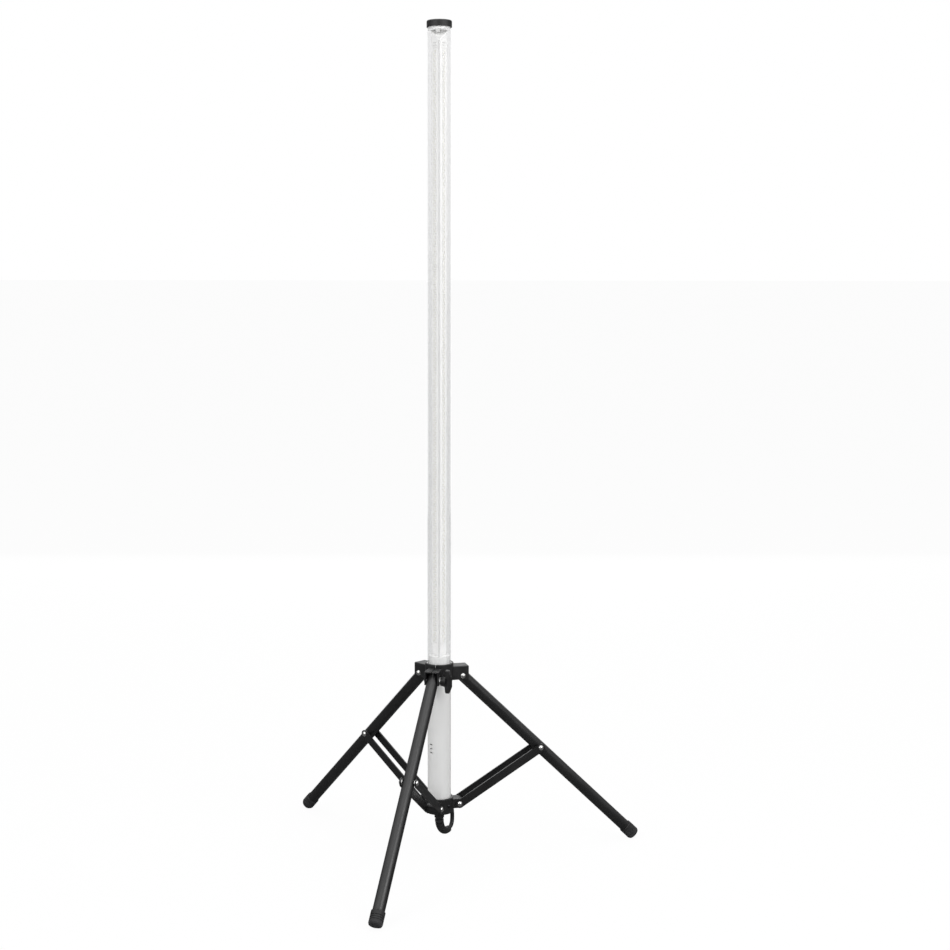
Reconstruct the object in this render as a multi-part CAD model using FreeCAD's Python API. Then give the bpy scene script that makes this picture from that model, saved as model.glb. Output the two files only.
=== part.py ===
"""LED light tube on a folding tripod: a clear tube with a three-sided light core, on a pole whose
upper hub slides up to fold three legs and their braces.

Millimetres, +Z up. The origin is on the pole's axis, on the floor that the three feet stand on.
Legs stand at azimuths 270 (front), 30 (right) and 150 (left), counted from +X towards +Y.
"""

import FreeCAD, Part
import math
import os

# ---- driving dimensions -------------------------------------------------------------------------

pole_radius = 25.0
tube_wall = 2.0
cap_top = 1770.0
cap_height = 14.0
cap_radius = 26.2
clear_tube_bottom = 403.0
bottom_plug_top = 440.5
top_plug_height = 11.0

core_corner_radius = 20.0       # of the circle through the light core's three corners
core_wall = 1.4
core_azimuth = 286.0            # where one corner points
core_mitre = 25.0               # how far that corner is cut down from the core's top
board_width = 12.0
board_thickness = 1.0
board_length = 1260.0

leg_azimuths = {"front": 270.0, "right": 30.0, "left": 150.0}
upper_pivot = (49.0, 395.5)     # distance from the pole's axis, height
middle_pivot = (225.0, 224.5)
lower_pivot = (41.7, 112.5)
folded_leg_angle = 3.0          # from the vertical, in degrees
leg_length = 557.3              # upper pivot to the end of the foot
leg_radius = 12.5
leg_wall = 1.2
leg_overhang = 8.0              # tube above the upper pivot
foot_radius = 14.5
foot_length = 30.0
foot_base = 6.0                 # rubber below the tube's end

hub_ring_radius = 30.5
arm_reach = 62.0
arm_half_width = 15.75
arm_half_gap = 13.0
arm_top = 417.5
arm_height = 30.0
ring_top = 425.0                # the ring stands above its arms
arm_plate = 3.0
hub_slit = 2.0

lower_hub_radius = 30.0
lower_hub_top = 128.0
lower_hub_bottom = 94.5
lower_hub_floor = 5.0
lug_radius = 9.5
lug_top = 123.5
lug_half_width = 14.0

bar_depth = 18.0
bar_thickness = 3.0
bar_inner_face = 14.5           # from the leg's middle plane

upper_pin_radius = 4.0
small_pin_radius = 3.0
rivet_head_radius = 5.9
rivet_head_height = 3.6
running = 0.06                  # radial clearance of a pin in its hole
assembly_gap = 0.1              # between fixed round pieces, one inside the other
side_gap = 0.3                  # between a moving piece's face and its neighbour's

knob_span = 50.0
knob_thickness = 11.0

lead_radius = 4.5
boot_straight = 11.5
boot_bend_radius = 36.0
boot_bend_angle = 100.0
boot_start_radius = 9.6
boot_end_radius = 7.4
lead_azimuth = 77.0
gland_collar = 4.0

# The lead from the boot to its hank, as azimuth, distance from the pole's axis and height.
lead_route = [
    (77.0, 42.25, 43.55),
    (77.3, 52.0, 45.5),
    (78.3, 60.0, 52.0),
    (79.3, 64.0, 63.5),
    (80.0, 64.0, 80.0),
    (81.0, 59.0, 101.0),
    (83.0, 50.5, 125.0),
    (85.5, 43.3, 151.0),
    (91.0, 38.3, 177.0),
    (96.2, 36.3, 202.0),
]

hank_azimuth = 104.0
hank_near_run = 36.0            # first run's distance from the pole's axis
hank_pitch = 9.4                # one turn to the next
hank_inner_fold = 27.3          # the inner turns' end radius
hank_half_run = 75.0
hank_height = 258.0             # height of the hank's middle
tie_offset = 40.0               # ties above and below the hank's middle
tie_half_width = 6.0

plug_radius = 18.0
plug_half_depth = 12.5
plug_height = 34.0
plug_top_offset = 2.0           # the plug's shoulder above the hank's middle

# ---- shapes in general --------------------------------------------------------------------------

UP = FreeCAD.Vector(0, 0, 1)
OUT = FreeCAD.Vector(1, 0, 0)
ACROSS = FreeCAD.Vector(0, 1, 0)
ORIGIN = FreeCAD.Vector(0, 0, 0)


def at(x, y, z):
    return FreeCAD.Vector(x, y, z)


def polar(azimuth, radius, height):
    turn = math.radians(azimuth)
    return at(radius * math.cos(turn), radius * math.sin(turn), height)


def turned(shape, azimuth):
    """A shape made in the plane of azimuth 0, turned about the pole."""
    copy = shape.copy()
    copy.rotate(ORIGIN, UP, azimuth)
    return copy


def rod(radius, start, end):
    return Part.makeCylinder(radius, (end - start).Length, start, end - start)


def ring(outer, inner, bottom, top):
    return rod(outer, at(0, 0, bottom), at(0, 0, top)).cut(
        rod(inner, at(0, 0, bottom - 1), at(0, 0, top + 1)))


def block(x, y, z):
    """A box from three (low, high) pairs."""
    return Part.makeBox(x[1] - x[0], y[1] - y[0], z[1] - z[0], at(x[0], y[0], z[0]))


def revolved(outline, base=ORIGIN, axis=UP):
    """A solid of (radius, height) corners turned about the vertical, then stood on base along axis."""
    wire = Part.makePolygon([at(r, 0, h) for r, h in outline + outline[:1]])
    solid = Part.Face(wire).revolve(ORIGIN, UP, 360)
    solid.Placement = FreeCAD.Placement(base, FreeCAD.Rotation(UP, axis))
    return solid


def dome(radius, height, base, axis):
    """A rivet's rounded head: a slice of a ball that stands on base."""
    ball = (radius ** 2 + height ** 2) / (2 * height)
    head = Part.makeSphere(ball, at(0, 0, height - ball))
    head = head.common(Part.makeCylinder(radius + 1, height + 1))
    head.Placement = FreeCAD.Placement(base, FreeCAD.Rotation(UP, axis))
    return head


def fused(shapes):
    whole = shapes[0]
    for shape in shapes[1:]:
        whole = whole.fuse(shape)
    return whole.removeSplitter()


def save(name, shapes):
    """One solid, or several alike as a group of separate solids, in one node."""
    group = shapes if isinstance(shapes, list) else [shapes]
    solids = [solid for shape in group for solid in shape.Solids]
    assert solids and all(solid.isValid() for solid in solids), name
    whole = solids[0] if len(solids) == 1 else Part.makeCompound(solids)
    whole.exportStep("parts/" + name + ".step")
    return whole


def angle_from_vertical(start, end):
    return math.degrees(math.atan2(abs(end[0] - start[0]), abs(end[1] - start[1])))


# ---- the fold: angles and travel ----------------------------------------------------------------

leg_angle = angle_from_vertical(upper_pivot, middle_pivot)
brace_angle = angle_from_vertical(lower_pivot, middle_pivot)
upper_link = math.dist(upper_pivot, middle_pivot)
brace_link = math.dist(lower_pivot, middle_pivot)


def folded_brace_angle():
    reach = upper_pivot[0] + upper_link * math.sin(math.radians(folded_leg_angle)) - lower_pivot[0]
    return math.degrees(math.asin(reach / brace_link))


def hub_travel():
    brace_rise = brace_link * math.cos(math.radians(folded_brace_angle()))
    leg_rise = upper_link * math.cos(math.radians(folded_leg_angle))
    return lower_pivot[1] + brace_rise + leg_rise - upper_pivot[1]


# ---- pole ---------------------------------------------------------------------------------------

tube_bore = pole_radius - tube_wall
cap_bottom = cap_top - cap_height
tube_top = cap_bottom + 6.0
seal_thickness = 1.0
core_top = tube_top - top_plug_height


def clear_tube():
    return ring(pole_radius, tube_bore, clear_tube_bottom, tube_top)


def sleeve_slots():
    """Three short slots, one above the other, in the lower sleeve's left front."""
    slots = []
    for height in (230.0, 239.0, 248.0):
        slot = block((20, 30), (-3.0, 3.0), (height - 1.2, height + 1.2))
        for end in (-3.0, 3.0):
            slot = slot.fuse(rod(1.2, at(20, end, height), at(30, end, height)))
        slots.append(turned(slot, 241.0))
    return slots


hub_screw_height = 112.0


def hub_screw_axes():
    """Each hub screw's start inside the sleeve and end under its head."""
    return [(polar(azimuth, 21.5, hub_screw_height), polar(azimuth, lower_hub_radius, hub_screw_height))
            for azimuth in (90.0, 210.0, 330.0)]


def lower_sleeve():
    sleeve = ring(pole_radius, tube_bore, lower_hub_bottom + lower_hub_floor, clear_tube_bottom)
    for slot in sleeve_slots():
        sleeve = sleeve.cut(slot)
    for start, end in hub_screw_axes():
        sleeve = sleeve.cut(rod(2.1, start, end))
    return sleeve


def cap_screw_places():
    return [polar(azimuth, 13.0, cap_top - 1.0) for azimuth in (0.0, 180.0)]


def top_cap():
    ceiling = tube_top + seal_thickness
    body = rod(cap_radius, at(0, 0, cap_bottom), at(0, 0, cap_top))
    body = body.makeFillet(3.0, [e for e in body.Edges if abs(e.CenterOfMass.z - cap_top) < 0.1])
    body = body.cut(rod(pole_radius + assembly_gap, at(0, 0, cap_bottom - 1), at(0, 0, ceiling)))
    for place in cap_screw_places():
        body = body.cut(rod(3.6, place, place + at(0, 0, 2))).cut(rod(1.8, place - at(0, 0, 20), place))
    return body


def cap_screws():
    screws = []
    for place in cap_screw_places():
        shank = rod(1.7, place - at(0, 0, 16), place)
        head = dome(3.4, 1.6, place, UP)
        slot = block((-0.4, 0.4), (-3.0, 3.0), (0.8, 3.0))
        slot.translate(place)
        screws.append(shank.fuse(head).cut(slot).removeSplitter())
    return screws


def cap_seal():
    return ring(pole_radius, tube_bore, tube_top, tube_top + seal_thickness)


def core_outline(corner_radius):
    corners = [polar(core_azimuth + 120 * i, corner_radius, 0) for i in range(4)]
    return Part.Face(Part.makePolygon(corners))


def light_core():
    """A three-sided extrusion with rounded corners, its upper end mitred down to one of them."""
    length = core_top - bottom_plug_top
    back = core_wall - core_corner_radius / 2       # inner side of the face opposite that corner
    slope = core_mitre / (core_corner_radius - back)
    reach = core_corner_radius + 5
    wedge = Part.Face(Part.makePolygon([
        at(back, -30, core_top), at(reach, -30, core_top - slope * (reach - back)),
        at(reach, -30, core_top + 5), at(back, -30, core_top + 5), at(back, -30, core_top)]))
    wedge = turned(wedge.extrude(at(0, 60, 0)), core_azimuth)
    body = core_outline(core_corner_radius).extrude(at(0, 0, length))
    body = body.makeFillet(1.6, [e for e in body.Edges if abs(e.Length - length) < 0.1])
    hollow = core_outline(core_corner_radius - 2 * core_wall).extrude(at(0, 0, length))
    body = body.cut(hollow)
    body.translate(at(0, 0, bottom_plug_top))
    return body.cut(wedge)


def light_boards():
    face = core_corner_radius / 2
    middle = (bottom_plug_top + core_top) / 2
    board = block((face, face + board_thickness), (-board_width / 2, board_width / 2),
                  (middle - board_length / 2, middle + board_length / 2))
    return [turned(board, core_azimuth + 60 + 120 * i) for i in range(3)]


def top_end_plug():
    """The white plug over the light core, with a small boss that reaches into it."""
    body = rod(tube_bore - assembly_gap, at(0, 0, core_top), at(0, 0, tube_top))
    boss = polar(core_azimuth - 90, 3.0, core_top)
    body = body.fuse(rod(4.6, boss - at(0, 0, 4), boss + at(0, 0, 2)))
    for place in cap_screw_places():
        body = body.cut(rod(1.8, place - at(0, 0, 20), place))
    return body


def bottom_end_plug():
    """The white plug under the light core. It bridges the two tubes, and the wires pass through it."""
    bottom = clear_tube_bottom - 28.0
    body = rod(tube_bore - assembly_gap, at(0, 0, bottom), at(0, 0, bottom_plug_top))
    return body.cut(rod(5.0, at(0, 0, bottom - 1), at(0, 0, bottom_plug_top + 1)))


driver_bottom = 160.0
driver_top = 310.0


def driver_tray():
    tray = block((-17, 17), (-9, 9), (driver_bottom, driver_top))
    room = block((-15.5, 15.5), (-7.5, 10), (driver_bottom + 1.5, driver_top - 1.5))
    lead_hole = rod(lead_radius + assembly_gap, at(0, 0, driver_bottom - 1), at(0, 0, driver_bottom + 2))
    wire_hole = rod(4.0, at(0, 0, driver_top - 2), at(0, 0, driver_top + 1))
    return tray.cut(room).cut(lead_hole).cut(wire_hole)


def driver_cover():
    return block((-17, 17), (9, 10.5), (driver_bottom, driver_top))


def driver_board():
    board = block((-15, 15), (-7.2, -5.6), (driver_bottom + 14, driver_top - 14))
    transformer = block((-10, 10), (-5.6, 6.4), (200, 226))
    capacitor = rod(5.0, at(-6, -0.6, 242), at(-6, -0.6, 262))
    choke = rod(6.0, at(5, -5.6, 280), at(5, 3.4, 280))
    return [board, transformer, capacitor, choke]


def core_wires():
    return [rod(1.2, at(x, 0, driver_top - 1.4), at(x, 0, bottom_plug_top)) for x in (-1.9, 1.9)]


# ---- lower hub and gland ------------------------------------------------------------------------

def lower_hub():
    radial, height = lower_pivot
    parts = [rod(lower_hub_radius, at(0, 0, lower_hub_bottom), at(0, 0, lower_hub_top))]
    parts[0] = parts[0].makeFillet(
        2.5, [e for e in parts[0].Edges if abs(e.CenterOfMass.z - lower_hub_bottom) < 0.1])
    for azimuth in leg_azimuths.values():
        lug = block((24, radial + lug_radius), (-lug_half_width, lug_half_width),
                    (height - lug_radius, lug_top))
        ends = [e for e in lug.Edges if abs(e.CenterOfMass.x - radial - lug_radius) < 0.1
                and abs(e.CenterOfMass.y) < 0.1]
        lug = lug.makeFillet(6.0, ends)
        parts.append(turned(lug, azimuth))
    body = fused(parts)
    seat = lower_hub_bottom + lower_hub_floor
    body = body.cut(rod(pole_radius + assembly_gap, at(0, 0, seat), at(0, 0, lower_hub_top + 5)))
    body = body.cut(rod(6.6, at(0, 0, lower_hub_bottom - 1), at(0, 0, seat + 1)))
    for azimuth in leg_azimuths.values():
        hole = rod(small_pin_radius + assembly_gap, at(radial, -20, height), at(radial, 20, height))
        body = body.cut(turned(hole, azimuth))
    for start, end in hub_screw_axes():
        body = body.cut(rod(2.1, start, end + (end - start)))
    return body


def hub_screws():
    screws = []
    for start, end in hub_screw_axes():
        outward = end - start
        outward.normalize()
        head = dome(3.6, 2.0, end + outward * assembly_gap, outward)
        screws.append(rod(2.0, start, end + outward * (assembly_gap + 0.5)).fuse(head).removeSplitter())
    return screws


def lower_pivot_rivets():
    radial, height = lower_pivot
    face = bar_inner_face + bar_thickness + side_gap
    rivets = []
    for azimuth in leg_azimuths.values():
        rivet = rod(small_pin_radius, at(radial, -face, height), at(radial, face, height))
        for side in (-1, 1):
            rivet = rivet.fuse(dome(rivet_head_radius, rivet_head_height,
                                    at(radial, side * face, height), ACROSS * side))
        rivets.append(turned(rivet.removeSplitter(), azimuth))
    return rivets


def gland_body():
    """The collar under the hub and the threaded neck that passes up through the hub's floor."""
    seat = lower_hub_bottom + lower_hub_floor
    outline = [(lead_radius + assembly_gap, lower_hub_bottom - gland_collar),
               (10.5, lower_hub_bottom - gland_collar), (10.5, lower_hub_bottom),
               (6.5, lower_hub_bottom), (6.5, seat + 9), (lead_radius + assembly_gap, seat + 9)]
    return revolved(outline)


def gland_nut():
    seat = lower_hub_bottom + lower_hub_floor
    corners = [polar(60 * i, 11.5, seat) for i in range(7)]
    nut = Part.Face(Part.makePolygon(corners)).extrude(at(0, 0, 5))
    return nut.cut(rod(6.5 + assembly_gap, at(0, 0, seat - 1), at(0, 0, seat + 6)))


def inner_lead():
    return rod(lead_radius, at(0, 0, lower_hub_bottom - gland_collar), at(0, 0, driver_bottom + 1.4))


def strain_relief_boot():
    """A tapered relief: straight down, then bent outwards and up. Solid: the lead's jacket is moulded in."""
    start = lower_hub_bottom - gland_collar
    bend = start - boot_straight
    centre = at(boot_bend_radius, 0, bend)

    def on_bend(turn):
        angle = math.radians(180 + turn)
        return centre + at(math.cos(angle), 0, math.sin(angle)) * boot_bend_radius

    run = Part.LineSegment(at(0, 0, start), at(0, 0, bend)).toShape()
    arc = Part.Arc(on_bend(0), on_bend(boot_bend_angle / 2), on_bend(boot_bend_angle)).toShape()
    spine = Part.Wire([run, arc])
    first = Part.Wire([Part.makeCircle(boot_start_radius, at(0, 0, start), at(0, 0, -1))])
    heading = math.radians(boot_bend_angle)
    last = Part.Wire([Part.makeCircle(boot_end_radius, on_bend(boot_bend_angle),
                                      at(math.sin(heading), 0, -math.cos(heading)))])
    boot = spine.makePipeShell([first, last], True, True)
    return turned(boot, lead_azimuth)


# ---- supply lead, hank and plug -----------------------------------------------------------------

def bent_tube(points, radius, name):
    """A tube along straight runs joined by tangent arcs, each as large as its two runs allow."""
    edges = []
    radii = []
    last = points[0]
    for before, corner, after in zip(points, points[1:], points[2:]):
        inward, outward = before - corner, after - corner
        shorter = min(inward.Length, outward.Length)
        half_turn = (math.pi - inward.getAngle(outward)) / 2
        reach = 0.45 * shorter
        radii.append(reach / math.tan(half_turn))
        inward.normalize()
        outward.normalize()
        start, end = corner + inward * reach, corner + outward * reach
        middle = corner + (inward + outward).normalize() * (
            radii[-1] / math.cos(half_turn) - radii[-1])
        edges.append(Part.LineSegment(last, start).toShape())
        edges.append(Part.Arc(start, middle, end).toShape())
        last = end
    edges.append(Part.LineSegment(last, points[-1]).toShape())
    spine = Part.Wire(edges)
    section = Part.Wire([Part.makeCircle(radius, points[0], points[1] - points[0])])
    tube = spine.makePipeShell([section], True, False)
    expected = math.pi * radius ** 2 * spine.Length
    print(name, "length", round(spine.Length, 1), "least radius", round(min(radii), 1),
          "volume over section times length", round(tube.Volume / expected, 4))
    return tube


hank_outer_fold = hank_inner_fold + hank_pitch
hank_middle = hank_near_run + hank_outer_fold
hank_skin = lead_radius + 0.3


def stadium(radius, half_depth):
    """A round-ended plate upright behind the pole, in the plane of azimuth 0."""
    plate = block((hank_middle - radius, hank_middle + radius), (-half_depth, half_depth),
                  (hank_height - hank_half_run, hank_height + hank_half_run))
    for end in (-hank_half_run, hank_half_run):
        plate = plate.fuse(rod(radius, at(hank_middle, -half_depth, hank_height + end),
                               at(hank_middle, half_depth, hank_height + end)))
    return plate.removeSplitter()


def lead_hank():
    """The outer shape of the folded lead: two turns deep and two turns wide."""
    half_depth = hank_pitch
    outside = stadium(hank_outer_fold + hank_skin, half_depth)
    return turned(outside.cut(stadium(hank_inner_fold - hank_skin, half_depth + 1)), hank_azimuth)


def supply_lead():
    return bent_tube([polar(*point) for point in lead_route], lead_radius, "supply_lead")


def lead_tail():
    """From the inner turn's end down to the plug, in the middle of the hank."""
    middle, height = hank_middle, hank_height
    points = [at(middle + 25.5, 1.0, height + 72), at(middle + 20, 0.5, height + 54),
              at(middle + 6, 0, height + 38), at(middle, 0, height + plug_top_offset + 18)]
    return turned(bent_tube(points, lead_radius, "lead_tail"), hank_azimuth)


def tie_saddles():
    saddles = []
    for side in (-1, 1):
        height = hank_height + side * tie_offset
        saddle = block((20, 30.8), (-7, 7), (height - 9, height + 9))
        saddle = saddle.cut(rod(pole_radius + assembly_gap, at(0, 0, height - 10), at(0, 0, height + 10)))
        tunnel = block((27.1, 28.9), (-8, 8), (height - tie_half_width - 0.3, height + tie_half_width + 0.3))
        saddles.append(turned(saddle.cut(tunnel), hank_azimuth))
    return saddles


def hank_ties():
    ties = []
    for side in (-1, 1):
        height = hank_height + side * tie_offset
        z = (height - tie_half_width, height + tie_half_width)
        strap = block((27.3, 52.0), (-11.4, 11.4), z)
        strap = strap.makeFillet(3.0, [e for e in strap.Edges if abs(e.Length - 2 * tie_half_width) < 0.1])
        room = block((28.7, 50.6), (-10.0, 10.0), z)
        room = room.makeFillet(0.4, [e for e in room.Edges if abs(e.Length - 2 * tie_half_width) < 0.1])
        ties.append(turned(strap.cut(room), hank_azimuth))
    return ties


def plug_body():
    """A round-backed two-pin plug with flattened sides and a tapered neck, its pins pointing down."""
    shoulder = hank_height + plug_top_offset
    body = rod(plug_radius, at(hank_middle, 0, shoulder - plug_height), at(hank_middle, 0, shoulder))
    body = body.makeFillet(4.0, [e for e in body.Edges if abs(e.CenterOfMass.z - shoulder) < 0.1])
    body = body.common(block((hank_middle - 30, hank_middle + 30), (-plug_half_depth, plug_half_depth),
                             (shoulder - plug_height, shoulder)))
    neck = Part.makeCone(9.0, 6.4, 18.0, at(hank_middle, 0, shoulder))
    pin_holes = fused([rod(2.45, place, place + at(0, 0, 9)) for place in plug_pin_places()])
    return turned(body.fuse(neck).removeSplitter().cut(pin_holes), hank_azimuth)


def plug_pin_places():
    face = hank_height + plug_top_offset - plug_height
    return [at(hank_middle + side * 9.5, 0, face) for side in (-1, 1)]


def plug_pins():
    pins = []
    for place in plug_pin_places():
        pin = rod(2.4, place - at(0, 0, 17), place + at(0, 0, 9))
        pin = pin.fuse(Part.makeSphere(2.4, place - at(0, 0, 17)))
        pins.append(turned(pin.removeSplitter(), hank_azimuth))
    return pins


# ---- upper hub and clamp ------------------------------------------------------------------------

arm_bottom = arm_top - arm_height
liner_radius = 27.0


def hub_arm():
    outer = block((24, arm_reach), (-arm_half_width, arm_half_width), (arm_bottom, arm_top))
    outer = outer.makeFillet(2.0, [e for e in outer.Edges if e.CenterOfMass.x > arm_reach - 0.1
                                   or (abs(e.CenterOfMass.z - arm_top) < 0.1
                                       and abs(e.CenterOfMass.y) > arm_half_width - 0.1)])
    room = block((hub_ring_radius, arm_reach + 1), (-arm_half_gap, arm_half_gap),
                 (arm_bottom - 1, arm_top - arm_plate))
    return outer.cut(room)


def upper_hub():
    """The sliding moulding, split through its ring and front arm so that the bolt can clamp it."""
    arms = [turned(hub_arm(), azimuth) for azimuth in leg_azimuths.values()]
    core = rod(hub_ring_radius, at(0, 0, arm_bottom), at(0, 0, ring_top))
    core = core.makeFillet(1.5, [e for e in core.Edges if abs(e.CenterOfMass.z - ring_top) < 0.1])
    body = fused([core] + arms)
    body = body.cut(rod(liner_radius + assembly_gap, at(0, 0, arm_bottom - 1), at(0, 0, ring_top + 1)))
    radial, height = upper_pivot
    for azimuth in leg_azimuths.values():
        hole = rod(upper_pin_radius + assembly_gap, at(radial, -30, height), at(radial, 30, height))
        body = body.cut(turned(hole, azimuth))
    slit = block((20, 70), (-hub_slit / 2, hub_slit / 2), (arm_bottom - 1, ring_top + 1))
    return body.cut(turned(slit, leg_azimuths["front"]))


def hub_liner():
    liner = ring(liner_radius, pole_radius + running, arm_bottom + 1, ring_top - 1)
    slit = block((20, 40), (-hub_slit / 2, hub_slit / 2), (arm_bottom, ring_top))
    return liner.cut(turned(slit, leg_azimuths["front"]))


def upper_pivot_rivets():
    radial, height = upper_pivot
    face = arm_half_width + assembly_gap
    rivets = []
    for name in ("right", "left"):
        rivet = rod(upper_pin_radius, at(radial, -face, height), at(radial, face, height))
        for side in (-1, 1):
            rivet = rivet.fuse(dome(rivet_head_radius, rivet_head_height + 0.4,
                                    at(radial, side * face, height), ACROSS * side))
        rivets.append(turned(rivet.removeSplitter(), leg_azimuths[name]))
    return rivets


def along_bolt(x):
    """A point on the clamp bolt's axis, which runs along X through the front leg's upper pivot."""
    return at(x, -upper_pivot[0], upper_pivot[1])


bolt_end = 37.0


def clamp_bolt():
    face = arm_half_width + assembly_gap
    shank = rod(upper_pin_radius, along_bolt(-face), along_bolt(bolt_end))
    return shank.fuse(dome(7.0, 4.0, along_bolt(-face), OUT * -1)).removeSplitter()


def clamp_washer():
    face = arm_half_width + assembly_gap
    return rod(8.5, along_bolt(face), along_bolt(face + 2.0)).cut(
        rod(upper_pin_radius + assembly_gap, along_bolt(face - 1), along_bolt(face + 3)))


knob_foot = arm_half_width + assembly_gap + 2.0 + side_gap
knob_boss_end = 29.5
knob_crown = 41.5


insert_end = 28.0


def knob_insert():
    """The threaded metal bush in the knob's boss."""
    return rod(6.0, along_bolt(knob_foot), along_bolt(insert_end)).cut(
        rod(upper_pin_radius + running, along_bolt(knob_foot - 1), along_bolt(bolt_end)))


def wing_knob():
    """A round boss that flares to two blunt wings, one up and one down."""
    half = knob_span / 2
    boss = Part.makeCone(9.5, 12.5, knob_boss_end - knob_foot, along_bolt(knob_foot), OUT)
    side = [(knob_boss_end - 3, 12), (knob_boss_end - 1.5, half), (knob_crown - 5, half),
            (knob_crown, half * 0.45), (knob_crown, -half * 0.45), (knob_crown - 5, -half),
            (knob_boss_end - 1.5, -half), (knob_boss_end - 3, -12)]
    outline = Part.makePolygon([along_bolt(x) + at(0, -knob_thickness / 2, z) for x, z in side + side[:1]])
    wings = Part.Face(outline).extrude(at(0, knob_thickness, 0))
    wings = wings.makeFillet(2.5, wings.Edges)
    bush_seat = rod(6.0 + assembly_gap, along_bolt(knob_foot - 1), along_bolt(insert_end + assembly_gap))
    bolt_room = rod(upper_pin_radius + running, along_bolt(knob_foot), along_bolt(bolt_end + 1.0))
    return boss.fuse(wings).removeSplitter().cut(bush_seat).cut(bolt_room)


# ---- legs and braces ----------------------------------------------------------------------------

def along_leg(distance, lift=0.0):
    """A point in the plane of azimuth 0, at a distance down the open leg from its upper pivot."""
    turn = math.radians(leg_angle)
    radial, height = upper_pivot
    return at(radial + distance * math.sin(turn) + lift * math.cos(turn), 0,
              height - distance * math.cos(turn) + lift * math.sin(turn))


def pivot_hole():
    radial, height = upper_pivot
    return rod(upper_pin_radius + running, at(radial, -30, height), at(radial, 30, height))


def leg_tube():
    start, end = along_leg(-leg_overhang), along_leg(leg_length - foot_base)
    return rod(leg_radius, start, end).cut(rod(leg_radius - leg_wall, start, end)).cut(pivot_hole())


def leg_top_plug():
    plug = rod(leg_radius - leg_wall - assembly_gap, along_leg(-leg_overhang), along_leg(22.0))
    lip = rod(leg_radius, along_leg(-leg_overhang - 1.5), along_leg(-leg_overhang))
    return plug.fuse(lip).removeSplitter().cut(pivot_hole())


def rubber_foot():
    """A rubber shoe with three grooves, a rounded end and a small flat sole on the floor."""
    top = foot_length
    groove = 0.9
    outline = [(0, 0), (foot_radius - 4, 0), (foot_radius - 1.2, 1.2), (foot_radius, 4)]
    for height in (9.0, 13.5, 18.0):
        outline += [(foot_radius, height), (foot_radius - groove, height + 0.6),
                    (foot_radius - groove, height + 1.4), (foot_radius, height + 2)]
    outline += [(foot_radius, top - 1), (foot_radius - 1, top), (leg_radius + assembly_gap, top),
                (leg_radius + assembly_gap, foot_base), (0, foot_base)]
    foot = revolved(outline, along_leg(leg_length), along_leg(0) - along_leg(1))
    return foot.cut(block((0, 600), (-50, 50), (-50, 0)))


def brace_direction():
    turn = math.radians(brace_angle)
    return at(math.sin(turn), 0, math.cos(turn))


def flat_bar(side):
    """One bar of a brace, round-ended, with a running hole below and a rivet hole above."""
    outer_face = bar_inner_face + bar_thickness
    low, high = sorted((side * bar_inner_face, side * outer_face))
    bar = block((0, brace_link), (low, high), (-bar_depth / 2, bar_depth / 2))
    for x in (0, brace_link):
        bar = bar.fuse(rod(bar_depth / 2, at(x, low, 0), at(x, high, 0)))
    bar = bar.removeSplitter()
    bar = bar.cut(rod(small_pin_radius + running, at(0, -30, 0), at(0, 30, 0)))
    bar = bar.cut(rod(small_pin_radius, at(brace_link, -30, 0), at(brace_link, 30, 0)))
    bar.rotate(ORIGIN, ACROSS, brace_angle - 90)
    bar.translate(at(lower_pivot[0], 0, lower_pivot[1]))
    return bar


def half_rivet(side):
    """Half of the middle pivot: a domed head outside its bar and a washer inside, clear of the leg."""
    radial, height = middle_pivot
    inner, outer = bar_inner_face, bar_inner_face + bar_thickness
    washer = rod(6.5, at(radial, side * (inner - 1.4), height), at(radial, side * inner, height))
    shank = rod(small_pin_radius, at(radial, side * (inner - 0.7), height), at(radial, side * outer, height))
    head = dome(rivet_head_radius, rivet_head_height, at(radial, side * outer, height), ACROSS * side)
    return washer.fuse(shank).fuse(head).removeSplitter()


# ---- write the nodes ----------------------------------------------------------------------------

os.makedirs("parts", exist_ok=True)

save("clear_tube", clear_tube())
save("lower_sleeve", lower_sleeve())
save("top_cap", top_cap())
save("cap_screws", cap_screws())
save("cap_seal", cap_seal())
save("light_core", light_core())
save("light_boards", light_boards())
save("top_end_plug", top_end_plug())
save("bottom_end_plug", bottom_end_plug())
save("driver_tray", driver_tray())
save("driver_cover", driver_cover())
save("driver_board", driver_board())
save("core_wires", core_wires())
save("lower_hub", lower_hub())
save("hub_screws", hub_screws())
save("lower_pivot_rivets", lower_pivot_rivets())
save("gland_body", gland_body())
save("gland_nut", gland_nut())
save("inner_lead", inner_lead())
save("strain_relief_boot", strain_relief_boot())
save("supply_lead", supply_lead())
save("lead_hank", lead_hank())
save("lead_tail", lead_tail())
save("tie_saddles", tie_saddles())
save("hank_ties", hank_ties())
save("plug_body", plug_body())
save("plug_pins", plug_pins())
save("upper_hub", upper_hub())
save("hub_liner", hub_liner())
save("upper_pivot_rivets", upper_pivot_rivets())
save("clamp_bolt", clamp_bolt())
save("clamp_washer", clamp_washer())
save("wing_knob", wing_knob())
save("knob_insert", knob_insert())
for leg, azimuth in leg_azimuths.items():
    save("leg_tube_" + leg, turned(leg_tube(), azimuth))
    save("leg_top_plug_" + leg, turned(leg_top_plug(), azimuth))
    save("rubber_foot_" + leg, turned(rubber_foot(), azimuth))
    save("brace_bars_" + leg, [turned(flat_bar(side), azimuth) for side in (-1, 1)])
    save("middle_rivets_" + leg, [turned(half_rivet(side), azimuth) for side in (-1, 1)])

print("hub travel", round(hub_travel(), 3))
print("leg folds by", round(leg_angle - folded_leg_angle, 4), "degrees")
print("brace folds by", round(brace_angle - folded_brace_angle(), 4), "degrees")
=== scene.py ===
"""Finishes, soft parts and small details of a light tube on its folding tripod, in a studio."""
import math

import bmesh
import bpy
from mathutils import Matrix, Vector


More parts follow.
